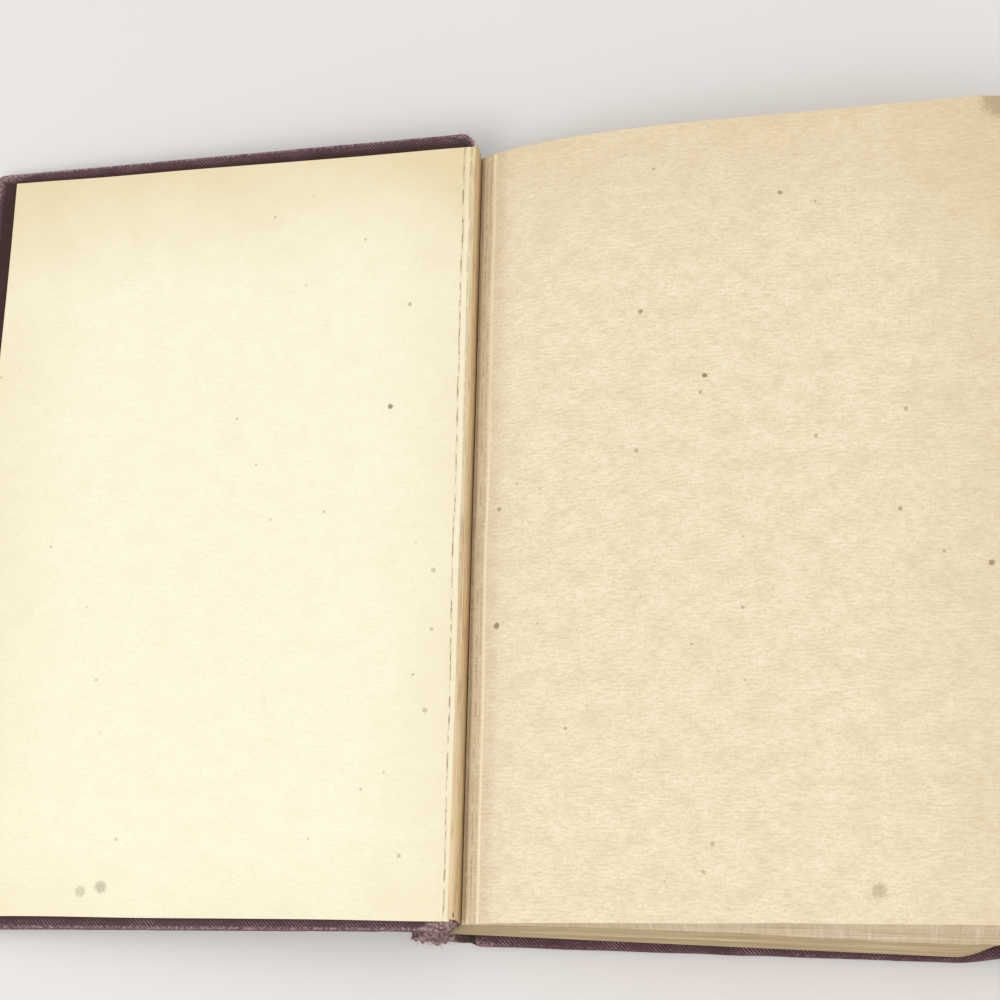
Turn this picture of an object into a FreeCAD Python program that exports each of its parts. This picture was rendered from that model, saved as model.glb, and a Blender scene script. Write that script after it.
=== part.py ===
import FreeCAD, Part
import math
import os
import Sketcher

# An old case-bound cloth book, lying open at its front endpapers.
# Millimetres, +Z up, +X to the fore-edge of the pages, +Y to their head.
# The origin is on the table, straight below the middle of the gutter.

os.makedirs("parts", exist_ok=True)
doc = FreeCAD.newDocument("open_book")
Vector, Rotation, Placement = FreeCAD.Vector, FreeCAD.Rotation, FreeCAD.Placement
UP = Vector(0, 0, 1)
ALONG_SPINE = Vector(0, 1, 0)

# Driving dimensions: name, value, what it is. Turns are in degrees, clockwise from above.
DIMENSIONS = [
    ("page_height", 188.0, "head to tail of a leaf"),
    ("page_width", 125.6, "gutter to fore-edge of the top leaf"),
    ("paper_thickness", 0.2, "one endpaper leaf"),
    ("resting_gap", 0.2, "loose gap between a leaf or a lining and what it lies on"),
    ("block_back_height", 3.67, "the pages squeezed together at the gutter"),
    ("block_fore_height", 24.6, "the pages fanned at the fore-edge"),
    ("gutter_roll", 18.0, "length over which the leaves roll out of the gutter"),
    ("roll_share", 0.48, "share of the rise that the roll takes"),
    ("top_leaf_turn", 0.11, "turn of the top leaf"),
    ("top_leaf_shift", -0.66, "top leaf's shift towards the head"),
    ("last_leaf_turn", 1.89, "turn of the lowest leaf"),
    ("last_leaf_shift", -2.57, "lowest leaf's shift towards the head"),
    ("last_leaf_lead", 2.0, "fore-edge of the lowest leaf beyond that of the top leaf"),
    ("back_lean", 1.6, "how far the block's back leans out past the gutter"),
    ("end_square", 3.15, "edge of a cover beyond the leaves at head and tail"),
    ("fore_square", 5.5, "edge of a cover beyond its pastedown at the fore-edge"),
    ("board_thickness", 2.0, "pasteboard under a turn-in"),
    ("cloth_thickness", 0.35, "cover cloth"),
    ("turn_in", 15.0, "cloth folded over the inside of a board"),
    ("hinge_corner_radius", 3.4, "worn corners beside the joint"),
    ("fore_corner_radius", 1.5, "bumped corners at the fore-edge"),
    ("edge_round", 0.8, "rounding of a covered board's edges"),
    ("joint_fold", 1.6, "width of an endpaper that the joint takes up"),
    ("front_hinge_rise", 6.2, "inner face of the front board at the gutter, above the top leaf there"),
    ("front_hinge_gap", 1.0, "gutter to hinge edge of the front board"),
    ("front_cover_shift", 0.49, "front cover's shift towards the head"),
    ("front_pastedown_inset", 0.25, "hinge edge of the front board to its pastedown"),
    ("front_pastedown_turn", 0.42, "turn of the front pastedown"),
    ("back_hinge_gap", 4.3, "gutter to hinge edge of the back cover"),
    ("back_pastedown_inset", 1.0, "hinge edge of the back board to its pastedown"),
    ("back_cover_turn", 1.2, "turn of the back cover"),
    ("back_cover_shift", -1.87, "back cover's shift towards the head"),
    ("spine_overhang", 11.3, "gutter to the outermost line of the spine cloth"),
    ("spine_bend", 3.9, "outer radius of the spine cloth's fold"),
    ("spine_top_inset", 2.6, "gutter to the spine cloth's free front edge"),
    ("front_joint_gap", 1.17, "spine cloth's free front edge to the height of the front board's outer face"),
    ("back_joint_gap", 1.7, "spine cloth to the hinge edge of the back cover"),
    ("spine_turn", 0.6, "turn of the spine strip"),
    ("spine_shift", -0.7, "spine strip's shift towards the head"),
    ("inlay_thickness", 0.5, "card strip inside the spine cloth"),
    ("inlay_inset", 2.2, "back edge of the spine cloth to the card strip"),
    ("inlay_end_inset", 1.5, "head and tail of the leaves to the ends of the card strip"),
    ("super_thickness", 0.3, "gauze on the back of the block"),
    ("lining_thickness", 0.25, "paper over the gauze"),
    ("lining_inset", 6.0, "head and tail of the leaves to the ends of the linings"),
]

# Two places closer than this are the same
SAME = 0.001

sheet = doc.addObject("Spreadsheet::Sheet", "Dimensions")
for row, (alias, value, note) in enumerate(DIMENSIONS, start=1):
    sheet.set(f"A{row}", alias)
    sheet.set(f"B{row}", str(value))
    sheet.set(f"C{row}", note)
    sheet.setAlias(f"B{row}", alias)
doc.recompute()


class Measure:
    """A number, with the formula of sheet cells that it comes from."""

    def __init__(self, value, formula):
        self.value = value
        self.formula = formula

    def __add__(self, other):
        return Measure(self.value + other.value, f"({self.formula} + {other.formula})")

    def __sub__(self, other):
        return Measure(self.value - other.value, f"({self.formula} - {other.formula})")

    def __mul__(self, factor):
        return Measure(self.value * factor, f"({self.formula} * {factor})")


def cell(alias):
    """The measure in one cell of the sheet."""
    return Measure(float(getattr(sheet, alias)), f"{sheet.Name}.{alias}")


def size(alias):
    """The bare number in one cell of the sheet."""
    return cell(alias).value


# Sizes that follow from others

cover_thickness = cell("board_thickness") + cell("cloth_thickness") * 2
board_height = cell("page_height") + (cell("end_square") - cell("cloth_thickness")) * 2
pastedown_width = cell("page_width") - cell("joint_fold")
board_width = (
    cell("front_pastedown_inset") + pastedown_width + cell("fore_square") - cell("cloth_thickness")
)
last_leaf_reach = cell("page_width") + cell("last_leaf_lead")
block_bottom = cover_thickness + cell("paper_thickness") * 2 + cell("resting_gap")
gutter_height = block_bottom + cell("block_back_height") + cell("resting_gap") + cell("paper_thickness")
front_hinge_height = gutter_height + cell("front_hinge_rise")


# Sketches and features

def new_sketch(body, name, role, lift=None):
    """An empty sketch on one of the body's origin planes, raised by lift."""
    plane = next(feature for feature in body.Origin.OriginFeatures if feature.Role == role)
    sketch = body.newObject("Sketcher::SketchObject", name)
    sketch.AttachmentSupport = (plane, [""])
    sketch.MapMode = "FlatFace"
    if lift:
        sketch.setExpression("AttachmentOffset.Base.z", lift.formula)
    return sketch


def relate(sketch, *relations):
    """Geometric constraints, each given as a tuple."""
    for relation in relations:
        sketch.addConstraint(Sketcher.Constraint(*relation))


def fix(sketch, name, kind, places, measure):
    """A dimension of the sketch, bound to the sheet."""
    index = sketch.addConstraint(Sketcher.Constraint(kind, *places, measure.value))
    sketch.renameConstraint(index, name)
    sketch.setExpression(f"Constraints.{name}", measure.formula)


def rectangle(body, name, width, height, lift=None):
    """A rectangle from the origin along X, centred on the X axis."""
    sketch = new_sketch(body, name, "XY_Plane", lift)
    half = height.value / 2
    corners = [Vector(0, -half), Vector(width.value, -half), Vector(width.value, half), Vector(0, half)]
    for first, second in zip(corners, corners[1:] + corners[:1]):
        sketch.addGeometry(Part.LineSegment(first, second), False)
    relate(sketch, *[("Coincident", side, 2, (side + 1) % 4, 1) for side in range(4)])
    relate(sketch, ("Horizontal", 0), ("Vertical", 1), ("Horizontal", 2), ("Symmetric", 0, 1, 2, 2, -1))
    relate(sketch, ("PointOnObject", 0, 1, -2))
    fix(sketch, "width", "DistanceX", (0, 1, 0, 2), width)
    fix(sketch, "height", "DistanceY", (1, 1, 1, 2), height)
    return sketch


def pad(body, sketch, name, length, both_ways=False):
    """The sketch pushed out by length, to one side or half to each."""
    feature = body.newObject("PartDesign::Pad", name)
    feature.Profile = sketch
    if both_ways:
        feature.SideType = "Symmetric"
    feature.setExpression("Length", length.formula)
    return feature


def round_edges(body, base, name, radius, wanted):
    """The edges of base for which wanted is true, rounded."""
    doc.recompute()
    names = [f"Edge{index}" for index, edge in enumerate(base.Shape.Edges, start=1) if wanted(edge)]
    feature = body.newObject("PartDesign::Fillet", name)
    feature.Base = (base, names)
    feature.setExpression("Radius", radius.formula)
    return feature


def upright_at(place):
    """True for a vertical edge at this X."""
    def wanted(edge):
        box = edge.BoundBox
        return box.XLength < SAME and box.YLength < SAME and abs(box.XMax - place) < SAME
    return wanted


def rim_edge(edge):
    """True for a level edge, other than the straight one along the hinge side."""
    box = edge.BoundBox
    at_hinge = box.XMax < SAME
    return box.ZLength < SAME and not at_hinge


def turned(degrees, x, y, z):
    """Moved to x, y, z and then turned clockwise about the origin, as seen from above."""
    return Placement(Vector(), Rotation(UP, -degrees)) * Placement(Vector(x, y, z), Rotation())


# A cover: its own frame has the hinge edge at X = 0, the outside at Z = 0 and the inside up

def cover_plate(side, kind, corner_extra):
    """The flat body that a board or its cloth starts from, and its last feature."""
    body = doc.addObject("PartDesign::Body", f"{side}_{kind}")
    width = board_width + corner_extra
    height = board_height + corner_extra * 2
    is_board = kind == "board"
    lift = cell("cloth_thickness") if is_board else None
    thickness = cell("board_thickness") if is_board else cover_thickness
    outline = rectangle(body, f"{side}_{kind}_outline", width, height, lift)
    last = pad(body, outline, f"{side}_{kind}_plate", thickness)
    corners = [("hinge", 0.0, cell("hinge_corner_radius")), ("fore", width.value, cell("fore_corner_radius"))]
    for place, x, radius in corners:
        last = round_edges(body, last, f"{side}_{kind}_{place}_corners", radius + corner_extra, upright_at(x))
    return body, last


def make_cover(side, placement):
    """The board and the cloth drawn round it. The board is as thick as its turn-ins between them."""
    board, _ = cover_plate(side, "board", cell("cloth_thickness") * 0.0)
    field_width = board_width - cell("turn_in")
    field_height = board_height - cell("turn_in") * 2
    field_lift = cell("cloth_thickness") + cell("board_thickness")
    field = rectangle(board, f"{side}_board_field", field_width, field_height, field_lift)
    pad(board, field, f"{side}_board_raised_field", cell("cloth_thickness"))
    board.Placement = placement

    blank, last = cover_plate(side, "cloth_blank", cell("cloth_thickness"))
    round_edges(blank, last, f"{side}_cloth_rim", cell("edge_round"), rim_edge)
    blank.Placement = placement

    cloth = doc.addObject("Part::Cut", f"{side}_cloth")
    cloth.Base = blank
    cloth.Tool = board
    return board, cloth


def make_pastedown(side, cover_placement, inset, shift, turn):
    """The paper glued to the inside of a cover, turned about its own centre."""
    body = doc.addObject("PartDesign::Body", f"{side}_pastedown")
    outline = rectangle(body, f"{side}_pastedown_outline", pastedown_width, cell("page_height"))
    pad(body, outline, f"{side}_pastedown_sheet", cell("paper_thickness"))
    half_width = pastedown_width.value / 2
    centre = Vector(inset + half_width, shift, cover_thickness.value)
    own = Placement(centre, Rotation(UP, -turn)) * Placement(Vector(-half_width, 0, 0), Rotation())
    body.Placement = cover_placement * own
    return body


def front_cover_slope():
    """The angle in degrees at which the front cover's rounded fore-edge rests on the table."""
    rounding = size("edge_round")
    reach = size("front_hinge_gap") + board_width.value + size("cloth_thickness") - rounding
    depth = cover_thickness.value - rounding
    fall = front_hinge_height.value - rounding
    return math.degrees(math.asin(fall / math.hypot(reach, depth)) - math.atan2(depth, reach))


def front_cover_placement():
    """The front cover lies open to the left, its inside up, sloping down to the table."""
    slope = front_cover_slope()
    across = Vector(-math.cos(math.radians(slope)), 0, -math.sin(math.radians(slope)))
    normal = Vector(-math.sin(math.radians(slope)), 0, math.cos(math.radians(slope)))
    inner_hinge = Vector(0, size("front_cover_shift"), front_hinge_height.value)
    base = inner_hinge + across * size("front_hinge_gap") - normal * cover_thickness.value
    return Placement(base, Rotation(ALONG_SPINE, -slope) * Rotation(UP, 180))


# The leaves

def leaf_height(x, drop):
    """The top leaf's height: a steep roll out of the gutter that dies away, on a long even rise."""
    width, roll, share = size("page_width"), size("gutter_roll"), size("roll_share")
    rolled = (1 - math.exp(-x / roll)) / (1 - math.exp(-width / roll))
    rise = size("block_fore_height") - size("block_back_height")
    return gutter_height.value + rise * (share * rolled + (1 - share) * x / width) - drop


def leaf_curve(y, drop):
    """The line of the top leaf from gutter to fore-edge, with points closer together in the roll."""
    steps = 10
    places = [size("page_width") * (step / steps) ** 2 for step in range(steps + 1)]
    curve = Part.BSplineCurve()
    curve.interpolate([Vector(x, y, leaf_height(x, drop)) for x in places])
    return curve.toShape()


def top_leaf_placement():
    return turned(size("top_leaf_turn"), 0, size("top_leaf_shift"), 0)


def last_leaf_placement():
    return turned(size("last_leaf_turn"), 0, size("last_leaf_shift"), 0)


def moved(shape, placement):
    """A copy of the shape in another place."""
    copy = shape.copy()
    copy.Placement = placement * copy.Placement
    return copy


def fanned_solid(half_length, top_edge, bottom_range):
    """
    A stack whose leaves turn little by little from the top leaf's turn to the last leaf's.
    Each end is the ruled surface between the top edge and the bottom edge there.
    """
    start, end = bottom_range
    tops, bottoms = [], []
    for y in (-half_length, half_length):
        low = block_bottom.value
        bottom = Part.LineSegment(Vector(start, y, low), Vector(end, y, low)).toShape()
        tops.append(moved(top_edge(y), top_leaf_placement()))
        bottoms.append(moved(bottom, last_leaf_placement()))
    ends = [Part.makeRuledSurface(top, bottom) for top, bottom in zip(tops, bottoms)]
    over = Part.makeRuledSurface(tops[0], tops[1])
    under = Part.makeRuledSurface(bottoms[0], bottoms[1])
    sides = []
    for pick in (0, -1):
        lines = []
        for index in (0, 1):
            high = tops[index].Vertexes[pick].Point
            low = bottoms[index].Vertexes[pick].Point
            lines.append(Part.LineSegment(high, low).toShape())
        sides.append(Part.makeRuledSurface(lines[0], lines[1]))
    shell = Part.Shell([face for part in [*ends, over, under, *sides] for face in part.Faces])
    shell.sewShape()
    solid = Part.Solid(shell)
    if solid.Volume < 0:
        solid.reverse()
    return solid


def feature(name, shape, placement=None):
    """A sub-part whose shape is worked out above."""
    part = doc.addObject("Part::Feature", name)
    part.Shape = shape
    if placement:
        part.Placement = placement
    return part


def make_text_block():
    """All the pages: squeezed together at the back, fanned at the fore-edge and turned in their stack."""
    drop = size("paper_thickness") + size("resting_gap")
    return feature("text_block", fanned_solid(
        size("page_height") / 2,
        lambda y: leaf_curve(y, drop),
        (-size("back_lean"), last_leaf_reach.value),
    ))


def make_back_layer(name, inner, thickness):
    """A strip on the back of the block, leaning and turning with it."""
    top = block_bottom.value + size("block_back_height")
    lean = size("back_lean")
    return feature(name, fanned_solid(
        size("page_height") / 2 - size("lining_inset"),
        lambda y: Part.LineSegment(Vector(-inner - thickness, y, top), Vector(-inner, y, top)).toShape(),
        (-lean - inner - thickness, -lean - inner),
    ))


def make_front_flyleaf():
    """The free endpaper, the top leaf on the right."""
    half = size("page_height") / 2
    over, under = leaf_curve(-half, 0), leaf_curve(-half, size("paper_thickness"))
    joins = [
        Part.LineSegment(over.Vertexes[pick].Point, under.Vertexes[pick].Point).toShape() for pick in (0, -1)
    ]
    outline = Part.Wire(Part.__sortEdges__([over, under, *joins]))
    sheet_shape = Part.Face(outline).extrude(Vector(0, 2 * half, 0))
    return feature("front_flyleaf", sheet_shape, top_leaf_placement())


def make_back_flyleaf():
    """The last free leaf, flat under the block."""
    body = doc.addObject("PartDesign::Body", "back_flyleaf")
    reach = last_leaf_reach + cell("back_lean")
    outline = rectangle(body, "back_flyleaf_outline", reach, cell("page_height"))
    pad(body, outline, "back_flyleaf_sheet", cell("paper_thickness"))
    low = block_bottom.value - size("paper_thickness")
    body.Placement = last_leaf_placement() * Placement(Vector(-size("back_lean"), 0, low), Rotation())
    return body


# The case spine: its own frame has the outermost line at X = 0 and the table at Z = 0

def spine_placement():
    return turned(size("spine_turn"), -size("spine_overhang"), size("spine_shift"), 0)


def make_spine_cloth():
    """The cloth from the back joint along the table, round a fold and up to the front joint."""
    body = doc.addObject("PartDesign::Body", "spine_cloth")
    sketch = new_sketch(body, "spine_cloth_section", "XZ_Plane")
    bend, cloth = cell("spine_bend"), cell("cloth_thickness")
    inner_bend = bend - cloth
    back_edge = cell("spine_overhang") + cell("back_hinge_gap") - cell("back_joint_gap")
    top_edge = cell("spine_overhang") - cell("spine_top_inset")
    top_height = front_hinge_height - cover_thickness - cell("front_joint_gap")

    centre = Vector(bend.value, bend.value)
    reach = Vector(top_edge.value, top_height.value) - centre
    contact = math.atan2(reach.y, reach.x) + math.acos(bend.value / reach.Length)
    outward = Vector(math.cos(contact), math.sin(contact))
    outer_end = Vector(top_edge.value, top_height.value)
    inner_end = outer_end - outward * cloth.value
    outer_contact = centre + outward * bend.value
    inner_contact = centre + outward * inner_bend.value

    def fold(radius):
        circle = Part.Circle(centre, UP, radius)
        return Part.ArcOfCircle(circle, contact, math.radians(270))

    outer_flat, outer_fold, outer_rise, top_cap, inner_rise, inner_fold, inner_flat, back_cap = range(8)
    for piece in (
        Part.LineSegment(Vector(back_edge.value, 0), Vector(bend.value, 0)),
        fold(bend.value),
        Part.LineSegment(outer_contact, outer_end),
        Part.LineSegment(outer_end, inner_end),
        Part.LineSegment(inner_end, inner_contact),
        fold(inner_bend.value),
        Part.LineSegment(Vector(bend.value, cloth.value), Vector(back_edge.value, cloth.value)),
        Part.LineSegment(Vector(back_edge.value, cloth.value), Vector(back_edge.value, 0)),
    ):
        sketch.addGeometry(piece, False)
    relate(
        sketch,
        ("PointOnObject", outer_flat, 1, -1),
        ("PointOnObject", outer_flat, 2, -1),
        ("Tangent", outer_flat, 2, outer_fold, 2),
        ("Tangent", outer_fold, 1, outer_rise, 1),
        ("Coincident", outer_rise, 2, top_cap, 1),
        ("Coincident", top_cap, 2, inner_rise, 1),
        ("Tangent", inner_rise, 2, inner_fold, 1),
        ("Tangent", inner_fold, 2, inner_flat, 1),
        ("Coincident", inner_flat, 2, back_cap, 1),
        ("Coincident", back_cap, 2, outer_flat, 1),
        ("Coincident", outer_fold, 3, inner_fold, 3),
        ("Horizontal", inner_flat),
        ("Vertical", back_cap),
        ("Perpendicular", outer_rise, top_cap),
        ("Parallel", outer_rise, inner_rise),
    )
    fix(sketch, "bend", "Radius", (outer_fold,), bend)
    fix(sketch, "inner_bend", "Radius", (inner_fold,), inner_bend)
    fix(sketch, "fold_centre", "DistanceX", (-1, 1, outer_fold, 3), bend)
    fix(sketch, "back_edge", "DistanceX", (-1, 1, outer_flat, 1), back_edge)
    fix(sketch, "top_edge", "DistanceX", (-1, 1, outer_rise, 2), top_edge)
    fix(sketch, "top_height", "DistanceY", (-1, 1, outer_rise, 2), top_height)
    pad(body, sketch, "spine_cloth_strip", board_height + cell("cloth_thickness") * 2, both_ways=True)
    body.Placement = spine_placement()
    return body


def make_spine_inlay():
    """The card strip that lies in the spine cloth and follows the lower half of its fold."""
    body = doc.addObject("PartDesign::Body", "spine_inlay")
    sketch = new_sketch(body, "spine_inlay_section", "XZ_Plane")
    bend, cloth, card = cell("spine_bend"), cell("cloth_thickness"), cell("inlay_thickness")
    outer, inner = bend - cloth, bend - cloth - card
    back_edge = (
        cell("spine_overhang") + cell("back_hinge_gap") - cell("back_joint_gap") - cell("inlay_inset")
    )
    centre = Vector(bend.value, bend.value)
    low, high = cloth.value, cloth.value + card.value

    def fold(radius):
        return Part.ArcOfCircle(Part.Circle(centre, UP, radius), math.pi, math.radians(270))

    outer_flat, outer_fold, top_cap, inner_fold, inner_flat, back_cap = range(6)
    for piece in (
        Part.LineSegment(Vector(back_edge.value, low), Vector(bend.value, low)),
        fold(outer.value),
        Part.LineSegment(Vector(cloth.value, bend.value), Vector(high, bend.value)),
        fold(inner.value),
        Part.LineSegment(Vector(bend.value, high), Vector(back_edge.value, high)),
        Part.LineSegment(Vector(back_edge.value, high), Vector(back_edge.value, low)),
    ):
        sketch.addGeometry(piece, False)
    relate(
        sketch,
        ("Tangent", outer_flat, 2, outer_fold, 2),
        ("Coincident", outer_fold, 1, top_cap, 1),
        ("Coincident", top_cap, 2, inner_fold, 1),
        ("Tangent", inner_fold, 2, inner_flat, 1),
        ("Coincident", inner_flat, 2, back_cap, 1),
        ("Coincident", back_cap, 2, outer_flat, 1),
        ("Coincident", outer_fold, 3, inner_fold, 3),
        ("Horizontal", outer_flat),
        ("Horizontal", inner_flat),
        ("Vertical", back_cap),
        ("Horizontal", top_cap),
        ("Horizontal", outer_fold, 3, outer_fold, 1),
    )
    fix(sketch, "outer_bend", "Radius", (outer_fold,), outer)
    fix(sketch, "inner_bend", "Radius", (inner_fold,), inner)
    fix(sketch, "fold_centre_x", "DistanceX", (-1, 1, outer_fold, 3), bend)
    fix(sketch, "fold_centre_z", "DistanceY", (-1, 1, outer_fold, 3), bend)
    fix(sketch, "back_edge", "DistanceX", (-1, 1, outer_flat, 1), back_edge)
    length = cell("page_height") - cell("inlay_end_inset") * 2
    pad(body, sketch, "spine_inlay_strip", length, both_ways=True)
    body.Placement = spine_placement()
    return body


# The book

front_placement = front_cover_placement()
back_placement = turned(size("back_cover_turn"), size("back_hinge_gap"), size("back_cover_shift"), 0)

parts = [
    *make_cover("front", front_placement),
    make_pastedown(
        "front", front_placement, size("front_pastedown_inset"), size("front_cover_shift"), size("front_pastedown_turn")
    ),
    *make_cover("back", back_placement),
    make_pastedown("back", back_placement, size("back_pastedown_inset"), 0, 0),
    make_text_block(),
    make_front_flyleaf(),
    make_back_flyleaf(),
    make_back_layer("super_gauze", size("resting_gap"), size("super_thickness")),
    make_back_layer(
        "spine_lining", size("super_thickness") + size("resting_gap") * 2, size("lining_thickness")
    ),
    make_spine_cloth(),
    make_spine_inlay(),
]
doc.recompute()

for item in doc.Objects:
    if "Invalid" in item.State or "Error" in item.State:
        raise RuntimeError(f"{item.Name} failed: {item.State}")
for part in parts:
    shape = part.Shape
    if shape.isNull() or not shape.isValid() or len(shape.Solids) != 1:
        raise RuntimeError(f"{part.Label} is not one valid solid")
for part in parts:
    part.Shape.exportStep(f"parts/{part.Label}.step")
    print(f"{part.Label}: {part.Shape.Volume / 1000:.2f} cm3")
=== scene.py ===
import math

import bmesh
import bpy
import numpy as np
from mathutils import Matrix, Vector


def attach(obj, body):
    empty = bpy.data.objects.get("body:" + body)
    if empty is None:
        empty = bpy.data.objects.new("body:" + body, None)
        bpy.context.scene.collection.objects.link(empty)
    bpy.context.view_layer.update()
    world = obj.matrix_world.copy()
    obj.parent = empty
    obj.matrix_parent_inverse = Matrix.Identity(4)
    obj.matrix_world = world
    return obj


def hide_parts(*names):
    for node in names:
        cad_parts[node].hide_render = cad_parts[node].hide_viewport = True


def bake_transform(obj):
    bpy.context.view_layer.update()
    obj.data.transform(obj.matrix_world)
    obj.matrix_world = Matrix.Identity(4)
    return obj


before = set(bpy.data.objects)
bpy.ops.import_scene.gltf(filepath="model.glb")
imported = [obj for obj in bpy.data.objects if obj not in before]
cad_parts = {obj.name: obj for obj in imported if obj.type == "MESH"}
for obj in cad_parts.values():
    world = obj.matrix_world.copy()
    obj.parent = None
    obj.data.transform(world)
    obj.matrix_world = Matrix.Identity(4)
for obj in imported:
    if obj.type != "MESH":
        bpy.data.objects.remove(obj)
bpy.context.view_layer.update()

# Sizes of the part, in millimetres and degrees, as the CAD source has them
PAGE_HEIGHT, PAGE_WIDTH, PAPER = 188.0, 125.6, 0.2
GUTTER_Z, LEAF_RISE, ROLL, ROLL_SHARE = 7.37, 20.93, 18.0, 0.48
BLOCK_BOTTOM, LEAF_GAP = 3.3, 0.2
TOP_TURN, TOP_SHIFT = 0.11, -0.66
LAST_TURN, LAST_SHIFT, LAST_REACH, BACK_LEAN = 1.89, -2.57, 127.6, 1.6
COVER_WIDTH, COVER_HALF, COVER_THICK, CLOTH = 129.75, 97.15, 2.7, 0.35
TURN_IN, EDGE_ROUND, FORE_CORNER, HINGE_CORNER = 15.0, 0.8, 1.85, 3.75
PASTEDOWN_WIDTH, FRONT_PASTEDOWN_EDGE, BACK_PASTEDOWN_EDGE, PASTEDOWN_TURN = 124.0, 0.25, 1.0, 0.42
FRONT_HINGE_Z, FRONT_GAP, FRONT_SHIFT = 13.57, 1.0, 0.49
BACK_GAP, BACK_TURN, BACK_SHIFT = 4.3, 1.2, -1.87
SPINE_OVER, SPINE_BEND, SPINE_TURN, SPINE_SHIFT = 11.3, 3.9, 0.6, -0.7
SPINE_TOP, SPINE_BACK = (-2.6, 9.7), (2.6, 0.0)

# The open front cover leans on its rounded fore-edge
FRONT_REACH = FRONT_GAP + COVER_WIDTH - EDGE_ROUND
FRONT_DEPTH = COVER_THICK - EDGE_ROUND
FRONT_SLOPE = math.asin((FRONT_HINGE_Z - EDGE_ROUND) / math.hypot(FRONT_REACH, FRONT_DEPTH)) - math.atan2(
    FRONT_DEPTH, FRONT_REACH
)

# Wear: the back cover's bumped tail corner, and the bent head corner of the upper leaves
CURL_LIFT, CURL_DRAW, LEAF_DRAW, CURLED_SHARE = 4.0, 2.0, 6.0, 0.4
BENT_CORNER, BENT_NORMAL, BENT_SLOPE = (120.3, 93.6), (0.818, 0.576), 0.3

# The line on the trimmed edges that parts the upper leaves from the lower: its height at the back, and its fall
PARTING_HEIGHT, PARTING_FALL = 19.5, 0.105


# Fields and places, all on whole arrays

def smooth(value, low, high):
    """0 below low, 1 above high, and an even S between them."""
    t = np.clip((value - low) / (high - low), 0.0, 1.0)
    return t * t * (3.0 - 2.0 * t)


def waves(x, y, wavelength, seed, count=9):
    """A gentle random swell: the mean of sines whose directions and lengths vary about one wavelength."""
    rng = np.random.default_rng(seed)
    angle = rng.uniform(0.0, math.tau, count)
    length = wavelength * rng.uniform(0.7, 1.6, count)
    phase = rng.uniform(0.0, math.tau, count)
    across = np.multiply.outer(x, np.cos(angle)) + np.multiply.outer(y, np.sin(angle))
    return np.sin(across * math.tau / length + phase).sum(-1) / math.sqrt(count / 2.0) * 0.5


def stack(*axes):
    """X, Y and Z arrays, or U and V, joined into points."""
    return np.stack(np.broadcast_arrays(*axes), -1)


def turned(points, degrees):
    """Points turned clockwise about the vertical through the origin, as seen from above."""
    a = np.radians(degrees)
    x, y, z = points[..., 0], points[..., 1], points[..., 2]
    return stack(x * np.cos(a) + y * np.sin(a), y * np.cos(a) - x * np.sin(a), z)


def leaf_z(x):
    """The top leaf's height over the table: a roll out of the gutter that dies away, on a long even rise."""
    rolled = (1.0 - np.exp(-x / ROLL)) / (1.0 - math.exp(-PAGE_WIDTH / ROLL))
    return GUTTER_Z + LEAF_RISE * (ROLL_SHARE * rolled + (1.0 - ROLL_SHARE) * x / PAGE_WIDTH)


def curl(points, draw, share=1.0):
    """Places near the back cover's tail corner, lifted and drawn in towards the head by its bump."""
    x, y, z = points[..., 0], points[..., 1], points[..., 2]
    amount = smooth(x, 108.0, 127.0) * smooth(-y, 82.0, 100.0) * share
    return stack(x, y + draw * amount, z + CURL_LIFT * amount)


def on_front(s, y, h):
    """A point of the open front cover: s from its hinge edge, y along it, h up from its outer face."""
    along, up = FRONT_GAP + s, h - COVER_THICK
    x = -math.cos(FRONT_SLOPE) * along - math.sin(FRONT_SLOPE) * up
    z = FRONT_HINGE_Z - math.sin(FRONT_SLOPE) * along + math.cos(FRONT_SLOPE) * up
    return stack(x, y + FRONT_SHIFT, z)


def on_back(s, y, h):
    """A point of the back cover, in the same terms."""
    return curl(turned(stack(BACK_GAP + s, y + BACK_SHIFT, h), BACK_TURN), CURL_DRAW)


# Meshes

def mesh_piece(name, points, quads, look, uv=None, notes=(), sharp=50.0):
    """
    A piece from vertex places in millimetres and rows of four vertex numbers. uv is the flat place of each
    face corner and notes are values kept on the vertices, for the material.
    """
    mesh = bpy.data.meshes.new(name)
    count = len(quads)
    mesh.vertices.add(len(points))
    mesh.vertices.foreach_set("co", (points * 0.001).astype(np.float32).ravel())
    mesh.loops.add(count * 4)
    mesh.loops.foreach_set("vertex_index", quads.astype(np.int32).ravel())
    mesh.polygons.add(count)
    mesh.polygons.foreach_set("loop_start", np.arange(0, count * 4, 4, dtype=np.int32))
    mesh.polygons.foreach_set("use_smooth", np.ones(count, bool))
    mesh.update(calc_edges=True)
    if uv is not None:
        layer = mesh.uv_layers.new(name="flat")
        layer.data.foreach_set("uv", (uv * 0.001).astype(np.float32).ravel())
    for key, values in notes:
        attribute = mesh.attributes.new(key, "FLOAT", "POINT")
        attribute.data.foreach_set("value", values.astype(np.float32).ravel())
    mesh.set_sharp_from_angle(angle=math.radians(sharp))
    mesh.materials.append(look)
    piece = bpy.data.objects.new(name, mesh)
    bpy.context.scene.collection.objects.link(piece)
    return piece


def grid_quads(rows, columns, first=0, flip=False):
    """Vertex numbers of the faces of a rows by columns grid whose vertices start at first."""
    index = np.arange(rows * columns).reshape(rows, columns) + first
    quads = np.stack([index[:-1, :-1], index[1:, :-1], index[1:, 1:], index[:-1, 1:]], -1).reshape(-1, 4)
    return quads[:, ::-1] if flip else quads


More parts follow.
